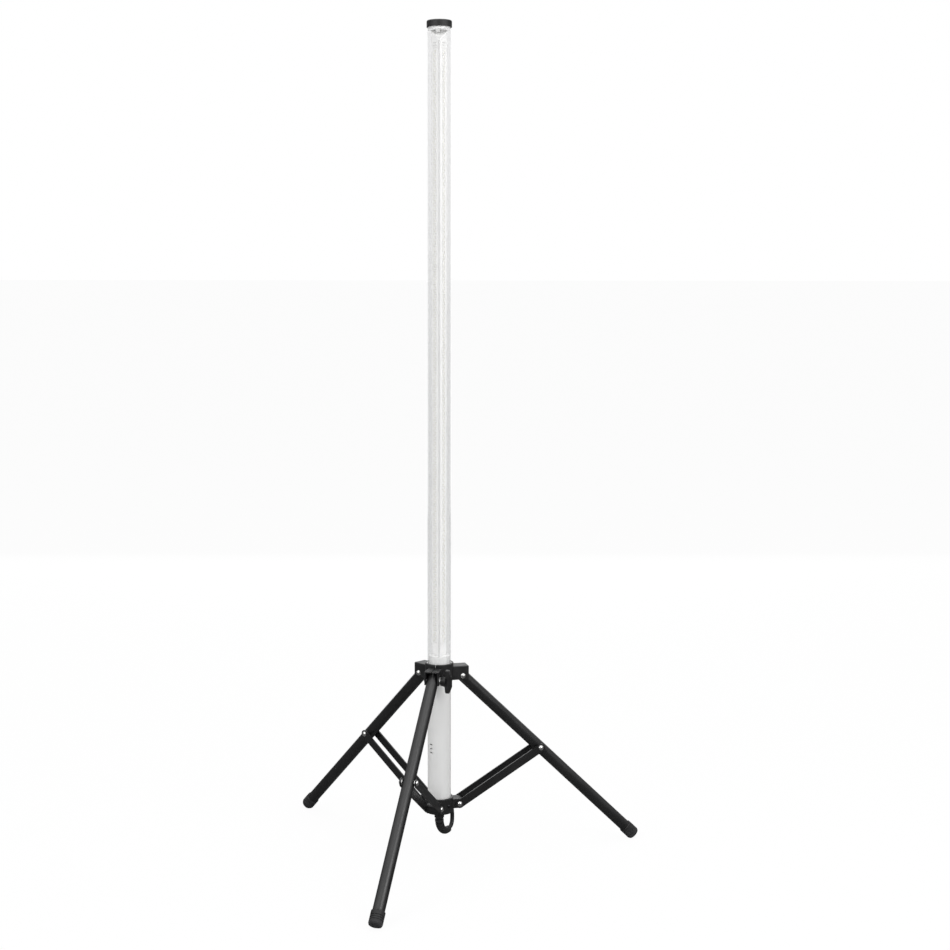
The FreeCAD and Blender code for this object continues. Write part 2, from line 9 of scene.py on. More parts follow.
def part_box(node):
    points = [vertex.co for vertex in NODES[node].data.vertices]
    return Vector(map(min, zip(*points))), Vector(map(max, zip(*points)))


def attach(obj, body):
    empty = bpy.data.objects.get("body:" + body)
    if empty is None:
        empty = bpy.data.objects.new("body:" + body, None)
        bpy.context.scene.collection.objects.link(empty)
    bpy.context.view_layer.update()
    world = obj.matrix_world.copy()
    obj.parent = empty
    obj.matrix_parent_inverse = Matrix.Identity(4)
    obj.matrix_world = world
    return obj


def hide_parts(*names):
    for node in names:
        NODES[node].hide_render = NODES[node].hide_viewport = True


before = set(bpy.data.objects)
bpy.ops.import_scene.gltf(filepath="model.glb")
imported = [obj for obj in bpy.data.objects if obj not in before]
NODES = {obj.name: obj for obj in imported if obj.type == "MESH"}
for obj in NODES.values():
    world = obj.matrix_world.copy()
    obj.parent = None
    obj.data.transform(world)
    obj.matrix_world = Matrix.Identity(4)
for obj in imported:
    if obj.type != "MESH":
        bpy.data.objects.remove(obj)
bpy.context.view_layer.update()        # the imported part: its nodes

bl_info = {
    "name": "LED light tube",
    "version": (1, 0, 0),
    "blender": (4, 5, 0),
    "location": "View3D > Sidebar > Light tube",
    "description": "Dresses a light tube on a folding tripod and sets its studio",
    "category": "Object",
}

LEGS = {"front": 270.0, "right": 30.0, "left": 150.0}      # azimuth of each leg, in degrees
LEG_LEAN = 44.2                                            # of an open leg from upright, in degrees
CORE_CORNER = 286.0                                        # azimuth of the light core's near corner
HANK_AZIMUTH = 104.0                                       # of the folded lead behind the pole
BOOT_AZIMUTH = 77.0                                        # towards which the boot bends


# ---- settings a user would change ---------------------------------------------------------------

def length(label, what, default):
    return bpy.props.FloatProperty(name=label, description=what, default=default, min=0.0,
                                   unit="LENGTH", subtype="DISTANCE", precision=4)


def paint(label, what, default):
    return bpy.props.FloatVectorProperty(name=label, description=what, default=default, size=3,
                                         min=0.0, max=1.0, subtype="COLOR")


class LeadSettings(bpy.types.PropertyGroup):
    diameter: length("Diameter", "Outside diameter of the lead's jacket", 0.009)
    real_length: length("Length", "Length of the lead from its boot to its plug", 2.0)


class EmitterSettings(bpy.types.PropertyGroup):
    pitch: length("Pitch", "Distance from one emitter to the next in its column", 0.0105)
    width: length("Width", "Width of one emitter", 0.0030)
    height: length("Height", "Height of one emitter along the tube", 0.0036)
    depth: length("Depth", "How far an emitter stands off its board", 0.0009)
    column: length("Column offset", "Distance of each column from the board's middle", 0.0027)


class FinishSettings(bpy.types.PropertyGroup):
    moulding: paint("Moulding", "Black textured moulding", (0.008, 0.008, 0.0084))
    coat: paint("Coat", "Black satin coat of legs and braces", (0.007, 0.007, 0.0073))
    rubber: paint("Rubber", "Black rubber of feet, boot and lead", (0.010, 0.010, 0.0105))
    white: paint("White", "White plastic and powder coat", (0.68, 0.68, 0.675))
    zinc: paint("Zinc", "Bright zinc plate", (0.78, 0.78, 0.77))
    window: paint("Emitter window", "Phosphor window of an emitter", (0.74, 0.71, 0.56))


class StageSettings(bpy.types.PropertyGroup):
    lens: bpy.props.FloatProperty(name="Lens", description="Focal length on a 36 mm sensor",
                                  default=63.94, min=10.0, unit="CAMERA")
    distance: length("Distance", "From the pole's axis to the camera, along the floor", 3.552)
    height: length("Camera height", "Height of the camera above the floor", 1.2535)
    pitch: bpy.props.FloatProperty(name="Pitch", description="How far the camera looks down",
                                   default=0.11876, subtype="ANGLE", unit="ROTATION")
    floor: paint("Floor", "Pale floor", (0.80, 0.80, 0.80))
    floor_glow: bpy.props.FloatProperty(name="Floor glow", description="Lifts the floor to white",
                                        default=1.0, min=0.0)


class TubeSettings(bpy.types.PropertyGroup):
    lead: bpy.props.PointerProperty(type=LeadSettings, name="Lead", description="Supply lead")
    emitters: bpy.props.PointerProperty(type=EmitterSettings, name="Emitters",
                                        description="Light-emitting packages on the boards")
    finish: bpy.props.PointerProperty(type=FinishSettings, name="Finish", description="Colours")
    stage: bpy.props.PointerProperty(type=StageSettings, name="Stage",
                                     description="Camera and floor")


def settings():
    return bpy.context.scene.light_tube


# ---- shader maths -------------------------------------------------------------------------------

class Wire:
    """An output socket that Python's operators work on, by adding Math nodes."""

    def __init__(self, finish, socket):
        self.finish, self.socket = finish, socket

    def maths(self, operation, *values, clamp=False):
        return self.finish.node("Math", {"operation": operation, "use_clamp": clamp},
                                dict(enumerate(values)))

    def __add__(self, other):
        return self.maths("ADD", self, other)

    def __sub__(self, other):
        return self.maths("SUBTRACT", self, other)

    def __rsub__(self, other):
        return self.maths("SUBTRACT", other, self)

    def __mul__(self, other):
        return self.maths("MULTIPLY", self, other)

    def __pow__(self, other):
        return self.maths("POWER", self, other)

    def __gt__(self, other):
        return self.maths("GREATER_THAN", self, other)

    __radd__, __rmul__ = __add__, __mul__

    def between(self, low, high):
        """0 below low, 1 above high, and a straight ramp from one to the other."""
        return self.finish.node("MapRange", {"clamp": True},
                                {"Value": self, "From Min": low, "From Max": high})

    def part(self, axis):
        """One number of a vector."""
        return self.finish.node("SeparateXYZ", {}, {0: self}, out=axis)


class Finish:
    """A material that is put together on its Principled shader."""

    def __init__(self, name, **sockets):
        self.material = bpy.data.materials.new(name)
        self.material.use_nodes = True
        self.tree = self.material.node_tree
        self.shader = self.tree.nodes["Principled BSDF"]
        for socket, value in sockets.items():
            self.set(socket.replace("_", " "), value)

    def node(self, kind, options, inputs, out=0):
        """Adds a node. Its options, such as a Math node's operation, are set before its inputs."""
        made = self.tree.nodes.new("ShaderNode" + kind)
        for option, value in options.items():
            setattr(made, option, value)
        for name, value in inputs.items():
            self.feed(made.inputs[name], value)
        return Wire(self, made.outputs[out])

    def feed(self, socket, value):
        if isinstance(value, Wire):
            self.tree.links.new(value.socket, socket)
        elif socket.type == "RGBA" and len(value) == 3:
            socket.default_value = (*value, 1)
        else:
            socket.default_value = value

    def set(self, socket, value):
        self.feed(self.shader.inputs[socket], value)

    def place(self, scale=(1, 1, 1), turn=(0, 0, 0)):
        """Object coordinates in metres, scaled and turned."""
        coordinates = self.node("TexCoord", {}, {}, out="Object")
        if scale == (1, 1, 1) and turn == (0, 0, 0):
            return coordinates
        return self.node("Mapping", {}, {"Vector": coordinates, "Scale": scale, "Rotation": turn})

    def noise(self, scale, detail=3.0, rough=0.55, where=None):
        """Cloudy noise from 0 to 1, with that many features to a metre."""
        return self.node("TexNoise", {}, {"Vector": where or self.place(), "Scale": scale,
                                          "Detail": detail, "Roughness": rough})

    def cells(self, scale):
        """Distance to the nearest of that many cell centres to a metre."""
        return self.node("TexVoronoi", {}, {"Vector": self.place(), "Scale": scale})

    def mix(self, share, first, second):
        return self.node("Mix", {"data_type": "RGBA"}, {0: share, 6: first, 7: second}, out=2)

    def bump(self, height, distance, strength):
        return self.node("Bump", {}, {"Height": height, "Distance": distance,
                                      "Strength": strength})


def shade(colour, times):
    return tuple(min(1.0, c * times) for c in colour)


# ---- finishes -----------------------------------------------------------------------------------

def textured_moulding(name, colour, roughness, grain=1500.0, depth=0.00012):
    """Black nylon with a fine spark-eroded grain, paler where hands have polished it."""
    f = Finish(name, IOR=1.5, Specular_IOR_Level=0.5)
    rub = f.noise(38, 4).between(0.42, 0.66)
    coarse = f.cells(grain * 0.55)
    fine = f.noise(grain, 3, 0.7)
    f.set("Base Color", f.mix(rub * 0.55 + (fine - 0.5) * 0.5, colour, shade(colour, 2.3)))
    f.set("Roughness", roughness + 0.10 * rub - 0.08 * fine)
    f.set("Normal", f.bump(coarse * 0.6 + fine, depth, 0.9))
    return f.material


def satin_coat(name, colour, azimuth):
    """Black powder coat: fine orange peel and faint scuffs along the tube."""
    f = Finish(name, IOR=1.5, Specular_IOR_Level=0.55)
    along = f.place(turn=(0, 0, math.radians(-azimuth)))
    peel = f.noise(620, 2)
    broad = f.noise(14, 3)
    scuff = f.noise(70, 5, 0.65, f.node("Mapping", {}, {
        "Vector": along, "Rotation": (0, math.radians(-LEG_LEAN), 0), "Scale": (5, 5, 0.25)}))
    worn = scuff.between(0.66, 0.76) * broad.between(0.45, 0.6)
    f.set("Base Color", f.mix(worn * 0.8 + broad * 0.15, colour, shade(colour, 5.0)))
    f.set("Roughness", 0.33 + 0.12 * broad.between(0.35, 0.65) + 0.14 * worn - 0.03 * peel)
    f.set("Normal", f.bump(peel, 0.00006, 0.7))
    return f.material


def matt_rubber(name, colour, dust_height=None):
    """Black rubber with mould texture, and floor dust up to a height if one is given."""
    f = Finish(name, IOR=1.5, Specular_IOR_Level=0.35)
    grain = f.noise(900, 4, 0.7)
    bloom = f.noise(45, 4).between(0.4, 0.7)
    pale = bloom * 0.5
    if dust_height:
        height = f.place().part("Z") + 0.006 * f.noise(120, 3) - 0.003
        dust = 1 - height.between(0.0, dust_height)
        pale = pale + 1.2 * dust * f.noise(260, 4).between(0.3, 0.62)
    f.set("Base Color", f.mix(pale * 0.6, colour, shade(colour, 5.5)))
    f.set("Roughness", 0.52 + 0.16 * bloom + 0.08 * grain)
    f.set("Normal", f.bump(grain, 0.00009, 0.8))
    return f.material


def lead_jacket(name, colour):
    """Extruded jacket: matt, with handling marks."""
    f = Finish(name, IOR=1.48, Specular_IOR_Level=0.4)
    marks = f.noise(60, 5, 0.6).between(0.45, 0.7)
    grain = f.noise(1400, 3, 0.6)
    f.set("Base Color", f.mix(marks * 0.5, colour, shade(colour, 2.6)))
    f.set("Roughness", 0.44 + 0.14 * marks + 0.05 * grain)
    f.set("Normal", f.bump(grain, 0.00004, 0.6))
    return f.material


def white_moulding(name, colour, roughness=0.40):
    """White extruded plastic with faint draw lines and handling marks."""
    f = Finish(name, IOR=1.49, Specular_IOR_Level=0.5)
    draw = f.noise(260, 3, 0.6, f.place(scale=(1, 1, 0.012)))
    cloud = f.noise(16, 4)
    marked = cloud.between(0.35, 0.75) * 0.6 + draw * 0.3
    f.set("Base Color", f.mix(marked, colour, shade(colour, 0.93)))
    f.set("Roughness", roughness + 0.12 * cloud.between(0.4, 0.7) - 0.05 * draw)
    f.set("Normal", f.bump(draw * 0.7 + f.noise(900, 2) * 0.3, 0.00008, 0.6))
    return f.material


def powder_white(name, colour, corners=None):
    """White powder coat with orange peel; further from the axis than corners, its colour is
    darkened as a painted shade along the corner edges.
    """
    f = Finish(name, IOR=1.5, Specular_IOR_Level=0.30)
    peel = f.noise(700, 2)
    cloud = f.noise(9, 3)
    whole = f.mix(cloud.between(0.35, 0.7), colour, shade(colour, 0.95))
    if corners:
        place = f.place()
        ragged = 0.0006 * f.noise(90, 3)
        reach = (place.part("X") ** 2 + place.part("Y") ** 2) ** 0.5 + ragged
        # painted shade: beyond corners from the axis the colour darkens to stand in for the shadow
        # line along each corner
        painted_corner_shade = reach.between(corners, corners + 0.0010)
        whole = f.mix(painted_corner_shade * 0.8, whole, shade(colour, 0.62))
    f.set("Base Color", whole)
    f.set("Roughness", 0.50 + 0.08 * cloud)
    f.set("Normal", f.bump(peel, 0.00007, 0.7))
    return f.material


def board_mask(name, colour, pitch):
    """White solder mask, with tinned pads and a conductor line at every emitter."""
    f = Finish(name, IOR=1.5, Specular_IOR_Level=0.5)
    height = f.place().part("Z")
    step = f.node("Math", {"operation": "PINGPONG"}, {0: height, 1: pitch / 2})
    pad = (step > pitch * 0.36) * (f.noise(340, 1) > 0.42)
    line = f.noise(500, 2).between(0.4, 0.6)
    f.set("Base Color", f.mix(pad * 0.40 + line * 0.06, colour, (0.60, 0.60, 0.59)))
    f.set("Roughness", 0.30 + 0.15 * line)
    f.set("Metallic", pad * 0.5)
    f.set("Normal", f.bump(pad * 0.4 + line * 0.2, 0.00008, 0.6))
    return f.material


def bright_zinc(name, colour, roughness=0.24):
    """Zinc plate: fine spangle, turned marks and a duller film in patches."""
    f = Finish(name, Metallic=1.0)
    spangle = f.cells(1100)
    film = f.noise(230, 4).between(0.45, 0.7)
    f.set("Base Color", f.mix(film * 0.8, colour, shade(colour, 0.62)))
    f.set("Roughness", roughness + 0.2 * film + 0.06 * spangle)
    f.set("Normal", f.bump(spangle, 0.00003, 0.5))
    return f.material


def clear_wall(name):
    """Clear polycarbonate. Towards its sides, where more of the wall is seen, a painted grey shade
    darkens it, and a painted highlight lightens its rim.
    """
    f = Finish(name, IOR=1.5, Specular_IOR_Level=0.5)
    turned_away = f.node("LayerWeight", {}, {"Blend": 0.5}, out="Facing")
    side = turned_away.between(0.20, 0.30)
    rim = turned_away.between(0.62, 0.85)
    low = 1 - 0.55 * f.place().part("Z").between(0.9, 1.6)
    haze = f.noise(22, 4).between(0.5, 0.72)
    streak = f.noise(90, 3, 0.6, f.place(scale=(1, 1, 0.01))).between(0.55, 0.75)
    # painted shade and highlight: the grey towards the sides is painted shade, and the rim's
    # lighter colour is a painted highlight; the added alpha is the wall seen obliquely
    f.set("Base Color", f.mix(side * (1 - 0.4 * rim), (0.90, 0.90, 0.90), (0.36, 0.37, 0.38)))
    f.set("Alpha", 0.015 + 0.125 * side * low + 0.16 * rim + 0.010 * haze + 0.010 * streak)
    f.set("Roughness", 0.05 + 0.06 * haze)
    return f.material


def hook_tape(name, colour):
    """Woven tape with a napped loop face."""
    f = Finish(name, Specular_IOR_Level=0.3, Sheen_Weight=0.4, Sheen_Roughness=0.5)
    loops = f.cells(1500)
    nap = f.noise(700, 5, 0.75)
    f.set("Base Color", f.mix(nap.between(0.35, 0.7) * 0.8, colour, shade(colour, 4.0)))
    f.set("Roughness", 0.82 + 0.1 * nap)
    f.set("Normal", f.bump(loops + nap, 0.0004, 0.9))
    return f.material


def plain_sheath(name, colour, roughness=0.4):
    """Small inner parts: insulation and circuit board."""
    f = Finish(name, IOR=1.48)
    grain = f.noise(400, 3)
    f.set("Base Color", f.mix(grain, colour, shade(colour, 1.5)))
    f.set("Roughness", roughness + 0.15 * grain)
    f.set("Normal", f.bump(grain, 0.00005, 0.5))
    return f.material


def emitter_window(name, colour):
    """Cured phosphor gel in an emitter's window."""
    f = Finish(name, IOR=1.41, Coat_Weight=0.4, Coat_Roughness=0.1)
    speck = f.noise(5200, 2)
    f.set("Base Color", f.mix(speck, colour, shade(colour, 1.3)))
    f.set("Roughness", 0.3 + 0.2 * speck)
    f.set("Normal", f.bump(speck, 0.00002, 0.5))
    return f.material


# ---- modelling by operators ---------------------------------------------------------------------

def clear_selection():
    if bpy.context.object and bpy.context.object.mode != "OBJECT":
        bpy.ops.object.mode_set(mode="OBJECT")
    bpy.ops.object.select_all(action="DESELECT")


def start(name):
    """Takes the primitive that was just added as a new piece."""
    piece = bpy.context.object
    piece.name = piece.data.name = name
    return piece


def editing(kind="FACE"):
    bpy.ops.object.mode_set(mode="EDIT")
    bpy.ops.mesh.select_mode(type=kind)


def pick(piece, kind, wanted):
    """Selects in edit mode the faces, edges or verts for which wanted is true."""
    mesh = bmesh.from_edit_mesh(piece.data)
    for part in (*mesh.faces, *mesh.edges, *mesh.verts):
        part.select = False
    for part in [part for part in getattr(mesh, kind) if wanted(part)]:
        part.select_set(True)
    bmesh.update_edit_mesh(piece.data)


def edited():
    bpy.ops.object.mode_set(mode="OBJECT")


def modify(piece, kind, **options):
    bpy.context.view_layer.objects.active = piece
    modifier = piece.modifiers.new(kind, kind)
    for option, value in options.items():
        setattr(modifier, option, value)
    bpy.ops.object.modifier_apply(modifier=modifier.name)


def take(piece):
    """Selects one piece, and nothing else."""
    clear_selection()
    piece.select_set(True)
    bpy.context.view_layer.objects.active = piece


def settle(piece):
    """Puts the piece's place into its mesh, so that its object is at the origin."""
    take(piece)
    bpy.ops.object.transform_apply(location=True, rotation=True, scale=True)


def turn_about_pole(piece, azimuth):
    piece.data.transform(Matrix.Rotation(math.radians(azimuth), 4, "Z"))
    piece.data.update()


def joined(name, pieces):
    clear_selection()
    for piece in pieces:
        piece.select_set(True)
    bpy.context.view_layer.objects.active = pieces[0]
    bpy.ops.object.join()
    return start(name)


def lathed(name, outline, centre=(0, 0, 0), steps=40):
    """Turns an outline of (radius, height) points round a vertical axis through centre."""
    clear_selection()
    bpy.ops.mesh.primitive_plane_add(size=0.001, location=(0, 0, 0))
    piece = start(name)
    editing("VERT")
    bpy.ops.mesh.select_all(action="SELECT")
    bpy.ops.mesh.merge(type="CENTER")
    last = Vector((0, 0, 0))
    for i, (radius, height) in enumerate(outline):
        point = Vector((radius, 0, height))
        if i == 0:
            bpy.ops.transform.translate(value=point)
        else:
            bpy.ops.mesh.extrude_region_move(TRANSFORM_OT_translate={"value": point - last})
        last = point
    bpy.ops.mesh.select_all(action="SELECT")
    bpy.ops.mesh.spin(steps=steps, angle=2 * math.pi, center=(0, 0, 0), axis=(0, 0, 1))
    bpy.ops.mesh.select_all(action="SELECT")
    bpy.ops.mesh.remove_doubles(threshold=0.00002)
    bpy.ops.mesh.normals_make_consistent(inside=False)
    edited()
    piece.data.transform(Matrix.Translation(centre))
    return piece


def finished(piece, body, material, replaces=(), angle=35.0):
    """Rides a new piece on its body with its finish."""
    piece.data.materials.clear()
    piece.data.materials.append(material)
    take(piece)
    bpy.ops.object.shade_smooth_by_angle(angle=math.radians(angle))
    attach(piece, body)
    if replaces:
        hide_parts(*replaces)
    return piece


# ---- stage --------------------------------------------------------------------------------------

FLOOR_SIZE = 600.0
FLOOR_DROP = 0.0005             # so that the floor and the soles aren't in one plane
SHIFT = 0.0376                  # sideways, as a share of the frame
# Lights: metres in front of the pole, to its right and above the floor, height of the point they
# are aimed at, their two sides and their power.
LAMPS = {"key": (2.3, 2.4, 2.7, 0.8, (1.8, 2.4), 67),
         "fill": (2.5, -2.2, 2.3, 0.5, (1.2, 2.2), 42),
         "top": (-0.29, 0.08, 4.2, 0.0, (3.5, 3.5), 70),
         "back": (-3.8, 0.0, 1.25, 0.7, (5.0, 2.2), 50)}
AMBIENT = 0.50                  # strength of the world for diffuse light
# Gloss sees a room that is dark at eye level and pale overhead: sine of the elevation, strength.
ROOM_DARK, ROOM_PALE = (0.12, 0.02), (0.60, 1.0)


def front_and_right():
    """Level directions from the pole to the camera and to the camera's right."""
    away = math.radians(CORE_CORNER)
    return (Vector((math.cos(away), math.sin(away), 0)),
            Vector((-math.sin(away), math.cos(away), 0)))


def look_along(direction):
    return direction.to_track_quat("-Z", "Y").to_euler()


def set_camera(scene, stage):
    front, _ = front_and_right()
    data = bpy.data.cameras.new("camera")
    data.lens, data.sensor_width, data.shift_x = stage.lens, 36.0, SHIFT
    camera = bpy.data.objects.new("camera", data)
    camera.location = front * stage.distance + Vector((0, 0, stage.height))
    camera.rotation_euler = look_along(
        -front * math.cos(stage.pitch) - Vector((0, 0, math.sin(stage.pitch))))
    scene.collection.objects.link(camera)
    scene.camera = camera


def lay_floor(stage):
    """A pale floor that looks white, and that gloss on the object barely mirrors."""
    clear_selection()
    bpy.ops.mesh.primitive_grid_add(x_subdivisions=2, y_subdivisions=2, size=FLOOR_SIZE,
                                    location=(0, 0, -FLOOR_DROP))
    floor = start("floor")
    f = Finish("pale_floor", Roughness=0.9, Specular_IOR_Level=0.1)
    f.set("Base Color", f.mix(f.noise(0.7, 2) * 0.3, stage.floor, shade(stage.floor, 0.99)))
    white = f.node("Emission", {}, {"Color": (1, 1, 1), "Strength": stage.floor_glow})
    dark = f.node("Emission", {}, {"Color": (1, 1, 1), "Strength": 0.04})
    seen = f.node("LightPath", {}, {}, out="Is Camera Ray")
    mirrored = f.node("LightPath", {}, {}, out="Is Glossy Ray")
    plain = f.node("MixShader", {}, {0: mirrored * 0.9, 1: Wire(f, f.shader.outputs[0]), 2: dark})
    both = f.node("MixShader", {}, {0: seen * 0.95, 1: plain, 2: white})
    f.tree.links.new(both.socket, f.tree.nodes["Material Output"].inputs["Surface"])
    floor.data.materials.append(f.material)


def light_room(scene):
    """An even pale world, with a shaded room for gloss and plain white for the camera."""
    world = bpy.data.worlds.new("studio")
    world.use_nodes = True
    nodes, links = world.node_tree.nodes, world.node_tree.links
    room, backdrop = (nodes.new("ShaderNodeBackground") for _ in range(2))
    direction, height = nodes.new("ShaderNodeTexCoord"), nodes.new("ShaderNodeSeparateXYZ")
    rise, ray = nodes.new("ShaderNodeMapRange"), nodes.new("ShaderNodeLightPath")
    for name, low, high in (("From", ROOM_DARK[0], ROOM_PALE[0]),
                            ("To", ROOM_DARK[1], ROOM_PALE[1])):
        rise.inputs[name + " Min"].default_value = low
        rise.inputs[name + " Max"].default_value = high
    links.new(direction.outputs["Generated"], height.inputs[0])
    links.new(height.outputs["Z"], rise.inputs["Value"])
    links.new(rise.outputs[0], room.inputs["Strength"])
    backdrop.inputs["Strength"].default_value = 1.0
    light = nodes["Background"]
    light.inputs["Strength"].default_value = AMBIENT
    for background in (light, room, backdrop):
        background.inputs["Color"].default_value = (1, 1, 1, 1)
    for output, other in (("Is Glossy Ray", room), ("Is Camera Ray", backdrop)):
        mix = nodes.new("ShaderNodeMixShader")
        links.new(ray.outputs[output], mix.inputs[0])
        links.new(light.outputs[0], mix.inputs[1])
        links.new(other.outputs[0], mix.inputs[2])
        light = mix
    links.new(light.outputs[0], nodes["World Output"].inputs["Surface"])
    scene.world = world


def soft_light(name, place, aim, size, power):
    data = bpy.data.lights.new(name, "AREA")
    data.shape, data.size, data.size_y, data.energy = "RECTANGLE", size[0], size[1], power
    lamp = bpy.data.objects.new(name, data)
    lamp.location = place
    lamp.rotation_euler = look_along(aim - place)
    lamp.visible_camera = False
    bpy.context.scene.collection.objects.link(lamp)


class TUBE_OT_stage(bpy.types.Operator):
    """Camera, pale floor and soft studio light"""
    bl_idname = "light_tube.stage"
    bl_label = "Stage"

    def execute(self, context):
        stage = settings().stage
        set_camera(context.scene, stage)
        lay_floor(stage)
        light_room(context.scene)
        context.scene.view_settings.view_transform = "Standard"
        front, right = front_and_right()
        for name, (ahead, aside, height, aim, size, power) in LAMPS.items():
            place = front * ahead + right * aside + Vector((0, 0, height))
            soft_light(name, place, Vector((0, 0, aim)), size, power)
        return {"FINISHED"}


# ---- supply lead --------------------------------------------------------------------------------

# The lead from its boot up to the hank: azimuth in degrees, distance from the pole's axis, height.
LEAD_ROUTE = [(77.0, 0.04225, 0.04355), (77.3, 0.0520, 0.0455), (78.3, 0.0600, 0.0520),
              (79.3, 0.0640, 0.0635), (80.0, 0.0640, 0.0800), (81.0, 0.0590, 0.1010),
              (83.0, 0.0505, 0.1250), (85.5, 0.0433, 0.1510), (91.0, 0.0383, 0.1770),
              (96.2, 0.0363, 0.2020)]
# The hank stands upright behind the pole, in a plane through the pole's axis.
HANK_NEAR = 0.0360                      # first run's distance from the pole's axis
HANK_PITCH = 0.0094                     # one turn to the next
HANK_INNER, HANK_OUTER = 0.0273, 0.0367     # radius of the turns' ends
HANK_MIDDLE = HANK_NEAR + HANK_OUTER
HANK_HEIGHT, HANK_HALF = 0.258, 0.075
LANE = HANK_PITCH / 2                   # each side of the plane
TIE_OFFSET = 0.040                      # ties above and below the hank's middle
# From the last turn into the plug: distance from the pole's axis, side, height.
LEAD_TAIL = [(0.0988, -0.0047, 0.3290), (0.0935, -0.0042, 0.3130), (0.0822, -0.0022, 0.2995),
             (0.0738, -0.0002, 0.2900), (0.0727, 0.0, 0.2790), (0.0727, 0.0, 0.2640)]
FOLD_STEPS = (22.5, 67.5, 112.5, 157.5)     # corners round the outside of a half turn
CORNER = 1 / math.cos(math.radians(22.5))   # how far out they are, for each metre of radius


def behind_pole(distance, side, height, azimuth=HANK_AZIMUTH):
    turn = math.radians(azimuth)
    return Vector((distance * math.cos(turn) - side * math.sin(turn),
                   distance * math.sin(turn) + side * math.cos(turn), height))


def fold(radii, sides, upward, lift=0.0):
    """Corners of one end of the hank: over the top from near to far, or back underneath."""
    points = []
    for step, radius, side in zip(FOLD_STEPS, radii, sides):
        angle = math.radians(180 - step if upward else -step)
        reach = radius * CORNER
        points.append((HANK_MIDDLE + reach * math.cos(angle), side,
                       HANK_HEIGHT + (HANK_HALF if upward else -HANK_HALF)
                       + reach * math.sin(angle) + lift))
    return points


def hank_corners():
    """The lead's turns, outer lane by lane and then inner, with loose ends that differ a little."""
    outer, inner = (HANK_OUTER,) * 4, (HANK_INNER,) * 4
    turns = [
        # radius and side of the upper end, radii and sides of the lower end, lift of the upper end
        (outer, -LANE, (0.0375, 0.0405, 0.0430, 0.0395),
         (-0.0046, -0.0026, 0.0012, 0.0042), 0.0024),
        (outer, LANE, (0.0367, 0.0358, 0.0330, 0.0290),
         (0.0049, 0.0054, 0.0053, 0.0048), 0.0008),
        (inner, LANE, inner, (0.0037, 0.0006, -0.0027, -0.0044), 0.0004),
        (inner, -LANE, None, None, 0.0002)]
    points = []
    for index, (radius, lane, lower_radii, lower_sides, lift) in enumerate(turns):
        near, far = HANK_MIDDLE - radius[0], HANK_MIDDLE + radius[0]
        low, high = (-0.026, 0.047) if index else (-0.020, 0.047)
        points += [(near, lane, HANK_HEIGHT + low),
                   (near - 0.0003, lane * 1.02, HANK_HEIGHT + high)]
        points += fold(radius, (lane,) * 4, True, lift)
        if lower_radii:
            points += [(far, lane, HANK_HEIGHT + 0.040),
                       (far + 0.0004, lane, HANK_HEIGHT - 0.046)]
            points += fold(lower_radii, lower_sides, False)
    return points


def line_of(name, points, bevel):
    """A NURBS line through free space with those control points."""
    data = bpy.data.curves.new(name, "CURVE")
    data.dimensions = "3D"
    data.resolution_u = 10
    data.bevel_depth, data.bevel_resolution, data.use_fill_caps = bevel, 4, True
    spline = data.splines.new("NURBS")
    spline.points.add(len(points) - 1)
    for place, point in zip(spline.points, points):
        place.co = (*point, 1)
    spline.order_u = 3
    spline.use_endpoint_u = True
    curve = bpy.data.objects.new(name, data)
    bpy.context.scene.collection.objects.link(curve)
    return curve


class TUBE_OT_lead(bpy.types.Operator):
    """Supply lead: from its boot up behind the pole, folded into a tied hank, with its plug"""
    bl_idname = "light_tube.lead"
    bl_label = "Supply lead"

    def execute(self, context):
        s = settings()
        route = [behind_pole(distance, 0, height, azimuth)
                 for azimuth, distance, height in LEAD_ROUTE]
        hank = [behind_pole(*point) for point in hank_corners() + LEAD_TAIL]
        lead = line_of("supply_lead_jacket", route + hank, s.lead.diameter / 2)
        lead.data.materials.append(lead_jacket("lead_jacket", s.finish.rubber))
        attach(lead, "pole")
        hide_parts("supply_lead", "lead_hank", "lead_tail")
        plug, ties = make_plug(), make_ties()
        return {"FINISHED"}


PLUG_SHOULDER = 0.260                   # height of the moulding's upper end, where its neck starts
PLUG_RADIUS, PLUG_DEPTH, PLUG_HEIGHT = 0.018, 0.0125, 0.034   # depth from its middle to a flat side
GRIPS, GRIP_PITCH, GRIP_TOP = 5, 0.0042, 0.0085             # ribs on each flat side
NECK_RINGS, NECK_PITCH = 4, 0.0034


